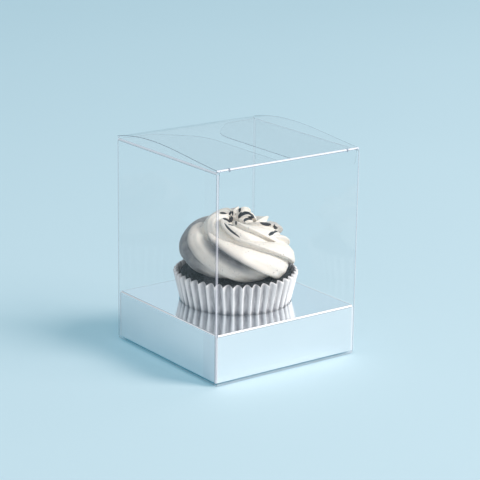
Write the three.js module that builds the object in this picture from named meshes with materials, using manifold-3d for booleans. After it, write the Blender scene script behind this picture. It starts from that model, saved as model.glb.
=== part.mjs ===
// A clear folding cupcake box with one cupcake on show.
//
// The carton is one scored sheet of clear film: four walls, a seam tab, two dust
// flaps and a snap-lock bottom. Its lid, with the tuck tongue, turns on the score at
// the top of the back wall. A silver card insert is folded down on four sides and
// holds the cupcake in a round hole. The cupcake is a pleated paper cup, a dark cake
// and a piped swirl of icing.
//
// Units are millimetres and +Z is up. The origin is the middle of the foot, the tuck
// side faces -Y and the lid turns on the +Y side.

import * as THREE from "three";
import { mergeVertices } from "three/addons/utils/BufferGeometryUtils.js";
import Module from "manifold-3d";

const wasm = await Module();
wasm.setup();

// Carton
const boxWidth = 90;
const boxDepth = 90;
const boxHeight = 112;
const film = 0.3;
const foldRadius = 0.9;
const layerGap = 0.3;
const seamTabWidth = 11.5;
const cutEdgeDrop = 0.2;

// Lid
const lidSideInset = 0.3;
const lidCrown = 3.8;
const crownPeakShare = 0.62;
const hingeInset = 0.1;
const tongueDepth = 9.5;
const tongueLean = THREE.MathUtils.degToRad(6);
const tongueSideInset = 1.7;
const tongueCornerRadius = 4;
const slitLength = 7.4;
const slitWidth = 0.5;

// Dust flaps
const dustFlapDrop = 1.2;
const dustFlapLength = 41;
const dustFlapFrontInset = 2.6;
const dustFlapBackInset = 1.5;
const dustFlapTaper = 20;
const dustFlapCornerRadius = 5;
const flapRootStrip = 2;

// Snap-lock bottom
const bottomLayerGap = 0.15;
const bottomSideInset = 1.2;
const frontBottomLength = 47;
const lockTongueWidth = 34;
const lockTongueLength = 12;
const backBottomLength = 50;
const lockNotchDepth = 9;
const bottomSideFlapLength = 38;
const bottomSideFlapTaper = 16;

// Silver card insert
const card = 0.45;
const cardFoldRadius = 0.8;
const insertClearance = 0.3;
const deckHeight = 27;
const flangeCornerGap = 0.1;

// Paper cup
const pleatCount = 42;
const pointsPerPleat = 6;
const paper = 0.3;
const cupBaseRadius = 26;
const cupRimRadius = 33.4;
const cupHeight = 32;
const cupFootBelowDeck = 15;
const pleatDepthAtBase = 0.7;
const pleatDepthAtRim = 2.4;
const rimScallop = 1.4;
const cupSeatGap = 0.3;

// Cake
const cakeGap = 0.3;
const cakeDome = 3.2;
const cakeEdgeBelowRim = 2.2;
const cakeShoulder = 2;

// Icing
const icingGap = 0.3;
const ropeTurns = 2.15;
const ropeStartAngle = -12;
const ropeStartRadius = 11.5;
const ropeEndRadius = 6.4;
const ropeTipShare = 0.1;
const ropeStartTaper = 0.06;
const ropeEndTaper = 0.07;
const coilStartRadius = 20.6;
const coilEndRadius = 3.2;
const coilEase = 1.8;
const coilLift = 8;
const coilRise = 19;
const lobeCount = 5;
const pointsPerLobe = 6;
const lobeDepth = 0.34;
const lobeOutset = 0.08;
const lobeLean = 0.62;
const lobeTurns = 3;
const ropeSteps = 60;
const ropeStretches = 4;

const gridPerMillimetre = 1000;

const wallTop = boxHeight - cutEdgeDrop;
const halfWidth = boxWidth / 2;
const halfDepth = boxDepth / 2;
const dustFlapTop = boxHeight - dustFlapDrop;
const tubeTop = dustFlapTop - foldRadius;
const layerStep = film + bottomLayerGap;
const bottomTop = 2 * layerStep + film;
const tubeBottom = bottomTop + foldRadius;

// The cup, the cake and the icing are made with the cup's foot at height 0, and are
// then lifted to this height.
const cupBase = deckHeight - cupFootBelowDeck;

/**
 * A solid for cutting and joining, from a closed geometry. Its points are set on a
 * fine grid, so that faces meant to lie in one plane do so exactly.
 */
function solidOf(geometry) {
  const plain = geometry.index ? geometry.toNonIndexed() : geometry.clone();
  for (const name of Object.keys(plain.attributes)) {
    if (name !== "position") plain.deleteAttribute(name);
  }
  const { array } = plain.attributes.position;
  array.forEach((value, i) => {
    array[i] = Math.round(value * gridPerMillimetre) / gridPerMillimetre;
  });
  const merged = mergeVertices(plain, 1e-4);
  return new wasm.Manifold(
    new wasm.Mesh({
      numProp: 3,
      vertProperties: merged.attributes.position.array,
      triVerts: new Uint32Array(merged.index.array),
    }),
  );
}

/** The geometry of a joined or cut solid. */
function geometryOf(solid) {
  const { vertProperties, triVerts } = solid.getMesh();
  const geometry = new THREE.BufferGeometry();
  geometry.setAttribute("position", new THREE.BufferAttribute(vertProperties, 3));
  geometry.setIndex(new THREE.BufferAttribute(triVerts, 1));
  const flat = geometry.toNonIndexed();
  flat.computeVertexNormals();
  return flat;
}

/** A profile of distances from the axis and heights, turned about +Z. */
function turned(profile, segments) {
  return new THREE.LatheGeometry(profile, segments).rotateX(Math.PI / 2);
}

function joined(geometries) {
  return geometries.map(solidOf).reduce((whole, next) => whole.add(next));
}

/** A box between two corners. */
function block([x0, y0, z0], [x1, y1, z1]) {
  const geometry = new THREE.BoxGeometry(x1 - x0, y1 - y0, z1 - z0);
  return geometry.translate((x0 + x1) / 2, (y0 + y1) / 2, (z0 + z1) / 2);
}

function extrudeUp(shape, z, height, curveSegments = 6) {
  const geometry = new THREE.ExtrudeGeometry(shape, {
    depth: height,
    bevelEnabled: false,
    curveSegments,
  });
  return geometry.translate(0, 0, z);
}

/** A closed outline whose corners are rounded by their own radius. */
function roundedOutline(corners) {
  const shape = new THREE.Shape();
  const count = corners.length;
  corners.forEach(([x, y, radius = 0], i) => {
    const here = new THREE.Vector2(x, y);
    const before = new THREE.Vector2(...corners[(i + count - 1) % count]);
    const after = new THREE.Vector2(...corners[(i + 1) % count]);
    const start = before.sub(here).setLength(radius).add(here);
    const end = after.sub(here).setLength(radius).add(here);
    if (i === 0) shape.moveTo(start.x, start.y);
    else shape.lineTo(start.x, start.y);
    if (radius > 0) shape.quadraticCurveTo(x, y, end.x, end.y);
  });
  shape.closePath();
  return shape;
}

function roundedRectangle(halfX, halfY, radius) {
  const path = new THREE.Shape();
  path.absarc(halfX - radius, halfY - radius, radius, 0, Math.PI / 2);
  path.absarc(radius - halfX, halfY - radius, radius, Math.PI / 2, Math.PI);
  path.absarc(radius - halfX, radius - halfY, radius, Math.PI, 1.5 * Math.PI);
  path.absarc(halfX - radius, radius - halfY, radius, 1.5 * Math.PI, 2 * Math.PI);
  path.closePath();
  return path;
}

/**
 * A scored fold between an upright leg and a level one, run along Y and centred.
 * The sheet's outer faces meet at x = 0, z = 0. The upright leg goes down and the
 * level one goes to +X.
 */
function foldedEdge(length, uprightLeg, levelLeg, thickness, radius) {
  const inner = radius - thickness;
  const profile = new THREE.Shape();
  profile.moveTo(0, -uprightLeg);
  profile.lineTo(0, -radius);
  profile.absarc(radius, -radius, radius, Math.PI, Math.PI / 2, true);
  profile.lineTo(levelLeg, 0);
  profile.lineTo(levelLeg, -thickness);
  profile.lineTo(radius, -thickness);
  profile.absarc(radius, -radius, inner, Math.PI / 2, Math.PI, false);
  profile.lineTo(thickness, -uprightLeg);
  profile.closePath();
  const geometry = new THREE.ExtrudeGeometry(profile, {
    depth: length,
    bevelEnabled: false,
    curveSegments: 4,
  });
  return geometry.rotateX(Math.PI / 2).translate(0, length / 2, 0);
}

/** Turns a piece made for the -X wall to face another side of the box. */
function toSide(geometry, side) {
  const turns = { left: 0, front: 1, right: 2, back: 3 };
  return geometry.rotateZ((turns[side] * Math.PI) / 2);
}

function seamTab() {
  const inside = -halfWidth + film;
  const low = -halfDepth + film / 2;
  return block(
    [inside - film / 2, low, tubeBottom],
    [inside + film, low + film / 2 + seamTabWidth, tubeTop - film],
  );
}

/** One dust flap with its fold, folded in from the left wall. */
function dustFlap() {
  const fold = foldedEdge(
    boxDepth - 2 * foldRadius,
    foldRadius + film,
    foldRadius + film,
    film,
    foldRadius,
  ).translate(-halfWidth, 0, dustFlapTop);
  const front = -halfDepth + dustFlapFrontInset;
  const back = halfDepth - dustFlapBackInset;
  const root = -halfWidth + foldRadius;
  const tip = -halfWidth + dustFlapLength;
  const outline = roundedOutline([
    [root, front],
    [root + flapRootStrip, front],
    [tip, front + film, dustFlapCornerRadius / 2],
    [tip - film, back - dustFlapTaper, dustFlapCornerRadius * 2],
    [root + dustFlapTaper, back - film, dustFlapCornerRadius],
    [root + flapRootStrip, back],
    [root, back],
  ]);
  return [fold, extrudeUp(outline, dustFlapTop - film, film)];
}

/** A bottom panel for one side: its fold, turned over, and the level panel. */
function bottomPanel(side, layer, outline) {
  const span = side === "front" || side === "back" ? boxWidth : boxDepth;
  const reach = side === "front" || side === "back" ? halfDepth : halfWidth;
  const under = layer * layerStep;
  const fold = foldedEdge(
    span - 2 * foldRadius,
    tubeBottom - under + film,
    foldRadius + film,
    film,
    foldRadius,
  )
    .rotateX(Math.PI)
    .translate(-reach, 0, under);
  const panel = extrudeUp(roundedOutline(outline(-reach + foldRadius)), under, film);
  return [toSide(fold, side), toSide(panel, side)];
}

function cartonGeometry() {
  const outer = roundedRectangle(halfWidth, halfDepth, foldRadius);
  outer.holes.push(
    roundedRectangle(halfWidth - film, halfDepth - film, foldRadius - film),
  );
  const walls = extrudeUp(outer, tubeBottom, tubeTop - tubeBottom, 4);

  const flatX = halfWidth - foldRadius;
  const frontEdge = block(
    [-flatX, -halfDepth, tubeTop - film],
    [flatX, -halfDepth + film, wallTop],
  );
  const backEdge = block(
    [-flatX, halfDepth - film, tubeTop - film],
    [flatX, halfDepth, boxHeight - film - layerGap],
  );

  const halfPanelX = halfWidth - bottomSideInset;
  const halfPanelY = halfDepth - bottomSideInset;
  const frontPanel = (root) => {
    const edge = -halfDepth + frontBottomLength;
    const halfTongue = lockTongueWidth / 2;
    return [
      [root, -halfPanelX],
      [edge, -halfPanelX, lockTongueLength / 2],
      [edge, -halfTongue - lockTongueLength / 2, 1],
      [edge + lockTongueLength, -halfTongue, lockTongueLength / 3],
      [edge + lockTongueLength, halfTongue, lockTongueLength / 3],
      [edge, halfTongue + lockTongueLength / 2, 1],
      [edge, halfPanelX, lockTongueLength / 2],
      [root, halfPanelX],
    ];
  };
  const backPanel = (root) => {
    const edge = -halfDepth + backBottomLength;
    const halfNotch = lockTongueWidth / 2;
    return [
      [root, -halfPanelX],
      [edge - lockNotchDepth, -halfPanelX],
      [edge, -halfNotch - lockNotchDepth, lockNotchDepth / 3],
      [edge, -halfNotch, 1],
      [edge - lockNotchDepth, -halfNotch, 1],
      [edge - lockNotchDepth, halfNotch, 1],
      [edge, halfNotch, 1],
      [edge, halfNotch + lockNotchDepth, lockNotchDepth / 3],
      [edge - lockNotchDepth, halfPanelX],
      [root, halfPanelX],
    ];
  };
  const sidePanel = (root) => {
    const edge = -halfWidth + bottomSideFlapLength;
    return [
      [root, -halfPanelY],
      [root + flapRootStrip, -halfPanelY],
      [edge, -halfPanelY + bottomSideFlapTaper, 3],
      [edge, halfPanelY - bottomSideFlapTaper, 3],
      [root + flapRootStrip, halfPanelY],
      [root, halfPanelY],
    ];
  };

  return geometryOf(
    joined([
      walls,
      seamTab(),
      frontEdge,
      backEdge,
      ...dustFlap(),
      ...dustFlap().map((piece) => piece.rotateZ(Math.PI).scale(1, -1, 1)).map(turnedOut),
      ...bottomPanel("front", 0, frontPanel),
      ...bottomPanel("left", 1, sidePanel),
      ...bottomPanel("right", 1, sidePanel),
      ...bottomPanel("back", 2, backPanel),
    ]),
  );
}

/** Turns the faces of a mirrored geometry so that they point out again. */
function turnedOut(geometry) {
  const plain = geometry.index ? geometry.toNonIndexed() : geometry;
  const { array } = plain.attributes.position;
  for (let i = 0; i < array.length; i += 9) {
    for (let k = 0; k < 3; k++) {
      [array[i + 3 + k], array[i + 6 + k]] = [array[i + 6 + k], array[i + 3 + k]];
    }
  }
  return plain;
}

/**
 * How far the sprung lid stands above its folds. The share runs from 0 at the tuck
 * fold to 1 at the hinge, and the curve has its peak at crownPeakShare.
 */
function crownAt(share) {
  const skew = Math.log(0.5) / Math.log(crownPeakShare);
  return lidCrown * Math.sin(Math.PI * share ** skew) ** 0.85;
}

/** The bowed lid and its tongue, as a sheet bent along Y and run across X. */
function lidSheet() {
  const hingeY = halfDepth - hingeInset;
  const frontY = -halfDepth + film + layerGap;
  const foldCentre = new THREE.Vector2(frontY + foldRadius, boxHeight - foldRadius);
  const top = [];
  const steps = 24;
  for (let i = 0; i <= steps; i++) {
    const share = 1 - i / steps;
    const y = foldCentre.x + (hingeY - foldCentre.x) * share;
    top.push(new THREE.Vector2(y, boxHeight + crownAt(share)));
  }
  const turns = 5;
  for (let i = 1; i <= turns; i++) {
    const angle = Math.PI / 2 + ((Math.PI / 2 + tongueLean) * i) / turns;
    top.push(
      new THREE.Vector2(
        foldCentre.x + foldRadius * Math.cos(angle),
        foldCentre.y + foldRadius * Math.sin(angle),
      ),
    );
  }
  const down = new THREE.Vector2(Math.sin(tongueLean), -Math.cos(tongueLean));
  top.push(top.at(-1).clone().addScaledVector(down, tongueDepth - foldRadius));

  const under = top.map((point, i) => {
    const along = top[Math.min(i + 1, top.length - 1)]
      .clone()
      .sub(top[Math.max(i - 1, 0)])
      .normalize();
    if (i === 0) return new THREE.Vector2(point.x, point.y - film);
    return new THREE.Vector2(point.x - along.y * film, point.y + along.x * film);
  });
  const profile = new THREE.Shape([...top, ...under.reverse()]);
  const width = boxWidth - 2 * lidSideInset;
  const geometry = new THREE.ExtrudeGeometry(profile, {
    depth: width,
    bevelEnabled: false,
  });
  return geometry
    .rotateX(Math.PI / 2)
    .rotateZ(Math.PI / 2)
    .translate(-width / 2, 0, 0);
}

/**
 * What is cut from one end of the tongue, seen from the front: a slit that frees the
 * lid's corner, a strip beside the tongue, and its lower corner to a round.
 */
function tongueEndCutter(side) {
  const outside = halfWidth + 1;
  const top = boxHeight - foldRadius;
  const low = top - tongueDepth;
  const edge = halfWidth - tongueSideInset;
  const slitEnd = halfWidth - lidSideInset - slitLength;
  const outline = new THREE.Shape();
  outline.moveTo(slitEnd, top);
  outline.lineTo(slitEnd, top - slitWidth);
  outline.lineTo(edge, top - slitWidth);
  outline.lineTo(edge, low + tongueCornerRadius);
  outline.absarc(
    edge - tongueCornerRadius,
    low + tongueCornerRadius,
    tongueCornerRadius,
    0,
    -Math.PI / 2,
    true,
  );
  outline.lineTo(edge - tongueCornerRadius, low - 1);
  outline.lineTo(outside, low - 1);
  outline.lineTo(outside, top);
  outline.closePath();
  const depth = 5 * foldRadius;
  const geometry = new THREE.ExtrudeGeometry(outline, {
    depth,
    bevelEnabled: false,
    curveSegments: 6,
  })
    .rotateX(Math.PI / 2)
    .translate(0, depth - halfDepth, 0);
  return side > 0 ? geometry : turnedOut(geometry.scale(-1, 1, 1));
}

function lidGeometry() {
  let lid = solidOf(lidSheet());
  for (const side of [-1, 1]) {
    lid = lid.subtract(solidOf(tongueEndCutter(side)));
  }
  return geometryOf(lid);
}

/** How far the pleats' ridges stand from the axis at a height above the cup's foot. */
function cupRadius(z) {
  return THREE.MathUtils.lerp(cupBaseRadius, cupRimRadius, z / cupHeight);
}

function pleatDepth(z) {
  return THREE.MathUtils.lerp(pleatDepthAtBase, pleatDepthAtRim, z / cupHeight);
}

const holeRadius = cupRadius(cupFootBelowDeck) + cupSeatGap;

function insertGeometry() {
  const left = 2 * film + insertClearance - halfWidth;
  const right = halfWidth - film - insertClearance;
  const halfY = halfDepth - film - insertClearance;
  const middle = (left + right) / 2;
  const halfX = (right - left) / 2;
  const foot = tubeBottom - insertClearance;
  const deckShape = roundedOutline([
    [left + cardFoldRadius, cardFoldRadius - halfY],
    [right - cardFoldRadius, cardFoldRadius - halfY],
    [right - cardFoldRadius, halfY - cardFoldRadius],
    [left + cardFoldRadius, halfY - cardFoldRadius],
  ]);
  const hole = new THREE.Path();
  hole.absarc(0, 0, holeRadius, 0, 2 * Math.PI, true);
  deckShape.holes.push(hole);
  const deck = extrudeUp(deckShape, deckHeight - card, card, 40);

  const flange = (reach, length) =>
    foldedEdge(length, deckHeight - foot, cardFoldRadius + card, card, cardFoldRadius)
      .translate(-reach, 0, deckHeight);
  const foldEnd = cardFoldRadius + flangeCornerGap;
  const sideLength = 2 * (halfY - foldEnd);
  const frontLength = 2 * (halfX - foldEnd);
  const cornerPlate = (y) =>
    block(
      [left + 2 * flangeCornerGap, y, foot],
      [right - 2 * flangeCornerGap, y + card, deckHeight - cardFoldRadius],
    );
  return geometryOf(
    joined([
      deck,
      toSide(flange(-left, sideLength), "left"),
      toSide(flange(right, sideLength), "right"),
      toSide(flange(halfY, frontLength), "front").translate(middle, 0, 0),
      toSide(flange(halfY, frontLength), "back").translate(middle, 0, 0),
      cornerPlate(-halfY),
      cornerPlate(halfY - card),
    ]),
  );
}

/**
 * A closed surface through rings of points, all of one length. The first and last
 * rings are single points on the axis.
 */
function skinThrough(rings) {
  const positions = [];
  const triangle = (a, b, c) => positions.push(...a, ...b, ...c);
  for (let k = 0; k + 1 < rings.length; k++) {
    const low = rings[k];
    const high = rings[k + 1];
    const count = Math.max(low.length, high.length);
    for (let i = 0; i < count; i++) {
      const j = (i + 1) % count;
      if (low.length === 1) triangle(low[0], high[j], high[i]);
      else if (high.length === 1) triangle(low[i], low[j], high[0]);
      else {
        triangle(low[i], low[j], high[j]);
        triangle(low[i], high[j], high[i]);
      }
    }
  }
  const geometry = new THREE.BufferGeometry();
  geometry.setAttribute("position", new THREE.Float32BufferAttribute(positions, 3));
  geometry.computeVertexNormals();
  return geometry;
}

/** Share of the pleat depth at a share of one pleat: a sharp ridge, a round valley. */
function pleatShape(turn) {
  return Math.abs(Math.sin(Math.PI * turn));
}

function pleatedRing(inset, depth, z, scallop) {
  const count = pleatCount * pointsPerPleat;
  return Array.from({ length: count }, (_, i) => {
    const angle = (2 * Math.PI * i) / count;
    const inward = pleatShape(i / pointsPerPleat);
    const height = z + scallop * (inward - 1);
    const r = cupRadius(height) - inset - depth * inward;
    return [r * Math.cos(angle), r * Math.sin(angle), height];
  });
}

function cupGeometry() {
  return skinThrough([
    [[0, 0, 0]],
    pleatedRing(0, pleatDepthAtBase, 0, 0),
    pleatedRing(0, pleatDepthAtRim, cupHeight, rimScallop),
    pleatedRing(paper, pleatDepthAtRim, cupHeight, rimScallop),
    pleatedRing(paper, pleatDepth(paper), paper, 0),
    [[0, 0, paper]],
  ]);
}

/** The widest the cake may be at a height: inside the cup's valleys. */
function cakeRadius(z) {
  return cupRadius(z) - pleatDepth(z) - paper - cakeGap;
}

const cakeFoot = paper + cakeGap;
const cakeEdge = cupHeight - cakeEdgeBelowRim;

/** The cake's top surface at a distance from the axis. */
function cakeTop(r) {
  const share = Math.min(r / cakeRadius(cakeEdge), 1);
  return cakeEdge + cakeDome * (1 - share ** 2);
}

function cakeGeometry() {
  const profile = [new THREE.Vector2(0, cakeFoot)];
  profile.push(new THREE.Vector2(cakeRadius(cakeFoot), cakeFoot));
  const shoulder = cakeEdge - cakeShoulder;
  profile.push(new THREE.Vector2(cakeRadius(shoulder), shoulder));
  const topSteps = 8;
  for (let i = 0; i < topSteps; i++) {
    const r = (cakeRadius(shoulder) - cakeShoulder / 3) * (1 - i / topSteps);
    profile.push(new THREE.Vector2(r, cakeTop(r)));
  }
  profile.push(new THREE.Vector2(0, cakeTop(0)));
  return turned(profile, 48);
}

/** The piped rope's centre, radius and twist at a share of its run. */
function ropeAt(share) {
  const angle = THREE.MathUtils.degToRad(ropeStartAngle) - 2 * Math.PI * ropeTurns * share;
  const closing = Math.max(share, 0) ** coilEase;
  const coil = THREE.MathUtils.lerp(coilStartRadius, coilEndRadius, closing);
  const z = cakeTop(coilStartRadius) + coilLift + coilRise * share;
  const opening = THREE.MathUtils.smoothstep(share, -ropeStartTaper / 6, ropeStartTaper);
  const ending = THREE.MathUtils.smoothstep(share, 1 - ropeEndTaper, 1);
  const taper = opening ** 0.6 * (1 - (1 - ropeTipShare) * ending);
  return {
    centre: new THREE.Vector3(coil * Math.cos(angle), coil * Math.sin(angle), z),
    radius: taper * THREE.MathUtils.lerp(ropeStartRadius, ropeEndRadius, share),
    twist: 2 * Math.PI * lobeTurns * share,
  };
}

/** The outline of one lobe: 0 in the valleys, 1 on a ridge that leans to its start. */
function lobeShape(part) {
  return Math.max(Math.sin(Math.PI * part ** lobeLean), 0) ** 0.8;
}

/** One ring of the rope: a star with leaning lobes, square to the run. */
function ropeRing(share) {
  const { centre, radius, twist } = ropeAt(share);
  const step = 1e-3;
  const along = ropeAt(share + step).centre.sub(ropeAt(share - step).centre).normalize();
  const out = new THREE.Vector3(centre.x, centre.y, 0).normalize();
  const up = new THREE.Vector3().crossVectors(along, out).normalize();
  if (up.z < 0) up.negate();
  const side = new THREE.Vector3().crossVectors(up, along).normalize();
  const count = lobeCount * pointsPerLobe;
  return Array.from({ length: count }, (_, i) => {
    const angle = (2 * Math.PI * i) / count + twist;
    const part = (i % pointsPerLobe) / pointsPerLobe;
    const r = radius * (1 + lobeOutset + lobeDepth * (lobeShape(part) - 1));
    return centre
      .clone()
      .addScaledVector(side, r * Math.cos(angle))
      .addScaledVector(up, r * Math.sin(angle))
      .toArray();
  });
}

/** A stretch of the rope between two shares, closed at both ends. */
function ropeStretch(from, to, steps) {
  const rings = [[ropeAt(from).centre.toArray()]];
  for (let i = 0; i <= steps; i++) {
    rings.push(ropeRing(from + ((to - from) * i) / steps));
  }
  rings.push([ropeAt(to).centre.toArray()]);
  return skinThrough(rings);
}

/** The round heart of the swirl, which fills the middle of the coil. */
function icingHeart() {
  const bottom = ropeAt(0).centre.z;
  const top = ropeAt(1).centre.z;
  return turned(
    [
      new THREE.Vector2(0, cakeTop(0)),
      new THREE.Vector2(coilStartRadius, cakeTop(coilStartRadius)),
      new THREE.Vector2(coilStartRadius, bottom - coilLift / 3),
      new THREE.Vector2(0.7 * coilStartRadius, bottom + coilLift),
      new THREE.Vector2(0.68 * coilStartRadius, top - 0.7 * ropeEndRadius),
      new THREE.Vector2(0.5 * ropeEndRadius, top + 0.2 * ropeEndRadius),
      new THREE.Vector2(0, top + 0.3 * ropeEndRadius),
    ],
    24,
  );
}

/** What the icing rests on, raised by its gap: everything below is cut away. */
function cakeCutter() {
  const profile = [new THREE.Vector2(0, 0)];
  const reach = 2 * cupRimRadius;
  profile.push(new THREE.Vector2(reach, 0));
  profile.push(new THREE.Vector2(reach, cakeTop(reach) + icingGap));
  const steps = 8;
  for (let i = 0; i <= steps; i++) {
    const r = cakeRadius(cakeEdge) * (1 - i / steps);
    profile.push(new THREE.Vector2(r, cakeTop(r) + icingGap));
  }
  return turned(profile, 48);
}

function icingGeometry() {
  const stretches = Array.from({ length: ropeStretches }, (_, i) =>
    ropeStretch(i / ropeStretches, (i + 1) / ropeStretches, ropeSteps / ropeStretches),
  );
  const swirl = joined([icingHeart(), ...stretches]);
  return geometryOf(swirl.subtract(solidOf(cakeCutter())));
}

const finishes = {
  film: { color: 0xdcebf0, roughness: 0.05, metalness: 0, transparent: true, opacity: 0.25 },
  silver: { color: 0xd6dce2, roughness: 0.12, metalness: 1 },
  paper: { color: 0xcfccd2, roughness: 0.6, metalness: 0 },
  cake: { color: 0x24262b, roughness: 0.9, metalness: 0 },
  icing: { color: 0xe9e4dd, roughness: 0.55, metalness: 0 },
};

function piece(name, geometry, finish) {
  const mesh = new THREE.Mesh(geometry, new THREE.MeshStandardMaterial(finishes[finish]));
  mesh.name = name;
  return mesh;
}

const cupcakeBox = new THREE.Group();
cupcakeBox.add(
  piece("carton", cartonGeometry(), "film"),
  piece("lid", lidGeometry(), "film"),
  piece("insert", insertGeometry(), "silver"),
  piece("cupcake_cup", cupGeometry().translate(0, 0, cupBase), "paper"),
  piece("cake", cakeGeometry().translate(0, 0, cupBase), "cake"),
  piece("icing", icingGeometry().translate(0, 0, cupBase), "icing"),
);

export default cupcakeBox;
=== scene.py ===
"""Looks of a clear folding cupcake box with a silver insert and one iced cupcake."""

import logging
import math
from dataclasses import dataclass, field
from enum import Enum

import bpy
import numpy as np
from mathutils import Matrix, Vector


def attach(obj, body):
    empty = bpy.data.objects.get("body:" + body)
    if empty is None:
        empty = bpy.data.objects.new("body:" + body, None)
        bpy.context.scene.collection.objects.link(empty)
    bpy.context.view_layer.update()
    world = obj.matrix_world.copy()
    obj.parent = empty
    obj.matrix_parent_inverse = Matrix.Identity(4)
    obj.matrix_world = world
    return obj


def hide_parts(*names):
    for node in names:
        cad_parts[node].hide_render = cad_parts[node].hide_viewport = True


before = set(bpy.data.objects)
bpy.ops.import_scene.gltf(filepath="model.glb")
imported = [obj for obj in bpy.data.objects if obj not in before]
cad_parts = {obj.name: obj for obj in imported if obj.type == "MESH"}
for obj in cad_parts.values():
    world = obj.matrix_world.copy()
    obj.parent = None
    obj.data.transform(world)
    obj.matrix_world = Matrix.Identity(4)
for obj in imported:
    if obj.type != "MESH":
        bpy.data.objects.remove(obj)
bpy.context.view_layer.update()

LOG = logging.getLogger("cupcake_box")
MM = 0.001
Socket = bpy.types.NodeSocket


class Toward(Enum):
    """A direction in which a place's distance from the middle is measured.

    Each value is a Math node's operation, the axis it works on, and its second input.
    """

    SIDES = ("ABSOLUTE", "X", 0.0)
    ENDS = ("ABSOLUTE", "Y", 0.0)
    FRONT = ("MULTIPLY", "Y", -1.0)
    UP = ("ADD", "Z", 0.0)
    DOWN = ("MULTIPLY", "Z", -1.0)


def smooth(value: np.ndarray, low: float, high: float) -> np.ndarray:
    """Ease from 0 at low to 1 at high.

    The share t of the way from low to high is held between 0 and 1, and the result
    is t squared times (3 minus 2 t).

    Args:
        value: Numbers to ease.
        low: Where the result leaves 0.
        high: Where the result reaches 1.

    Returns:
        The eased numbers.
    """
    t = np.clip((value - low) / (high - low), 0.0, 1.0)
    return t * t * (3.0 - 2.0 * t)


def ripple(points: np.ndarray, waves: int, finest: float, seed: int) -> np.ndarray:
    """Soft unevenness at each point, between about -1 and 1.

    It is the mean of sine waves that run in random directions, each with its own
    random phase and a wavelength between finest and six times finest.

    Args:
        points: Positions, with x, y and z along the last axis.
        waves: How many sine waves are summed.
        finest: Shortest wavelength, in metres.
        seed: Seed of the random directions, phases and wavelengths.

    Returns:
        One number for each position.
    """
    rng = np.random.default_rng(seed)
    directions = rng.normal(size=(waves, 3))
    directions /= np.linalg.norm(directions, axis=1, keepdims=True)
    lengths = finest * (1.0 + 5.0 * rng.random(waves))
    phases = 2.0 * np.pi * rng.random(waves)
    swing = 2.0 * np.pi * (points @ directions.T) / lengths + phases
    return np.sin(swing).sum(axis=-1) / math.sqrt(waves)


def closed_surface(
    name: str, rows: np.ndarray, low: np.ndarray, high: np.ndarray
) -> bpy.types.Object:
    """Make a closed skin through rings of points.

    Each row is a ring that closes on itself. Neighbouring rings are joined by quads,
    and the first and last rings by fans of triangles to a point each.

    Args:
        name: Name of the object and of its mesh.
        rows: Ring points, of shape (rings, points in a ring, 3), in metres.
        low: The point that closes the first ring.
        high: The point that closes the last ring.

    Returns:
        The new object, linked to the scene.
    """
    rings, around = rows.shape[:2]
    vertices = np.concatenate([rows.reshape(-1, 3), [low, high]])
    ring, step = np.meshgrid(np.arange(rings - 1), np.arange(around), indexing="ij")
    ahead = (step + 1) % around
    quads = np.stack(
        [
            ring * around + step,
            ring * around + ahead,
            (ring + 1) * around + ahead,
            (ring + 1) * around + step,
        ],
        axis=-1,
    ).reshape(-1, 4)
    first = np.arange(around)
    second = (first + 1) % around
    last = (rings - 1) * around
    foot = np.stack([np.full(around, rings * around), second, first], axis=-1)
    head = np.stack(
        [np.full(around, rings * around + 1), last + first, last + second], axis=-1
    )
    mesh = bpy.data.meshes.new(name)
    mesh.from_pydata(vertices, [], quads.tolist() + foot.tolist() + head.tolist())
    mesh.polygons.foreach_set("use_smooth", np.ones(len(mesh.polygons), bool))
    mesh.update()
    piece = bpy.data.objects.new(name, mesh)
    bpy.context.scene.collection.objects.link(piece)
    return piece


def add_values(piece: bpy.types.Object, name: str, values: np.ndarray) -> None:
    """Store one number at each vertex of a mesh, for its material to read.

    Args:
        piece: Object whose mesh gets the numbers.
        name: Name of the attribute.
        values: Numbers for the ring points. The two closing points take the first
            and the last of them.
    """
    flat = values.reshape(-1)
    full = np.concatenate([flat, [flat[0], flat[-1]]]).astype(np.float32)
    attribute = piece.data.attributes.new(name, "FLOAT", "POINT")
    attribute.data.foreach_set("value", full)


@dataclass(frozen=True)
class Mottle:
    """Cloudy noise of a scale in waves a metre, masked from 0 at low to 1 at high."""

    scale: float
    low: float
    high: float


@dataclass(frozen=True)
class Relief:
    """Noise that raises a surface: waves a metre, detail, height in metres, strength."""

    scale: float
    detail: float
    distance: float
    strength: float


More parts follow.
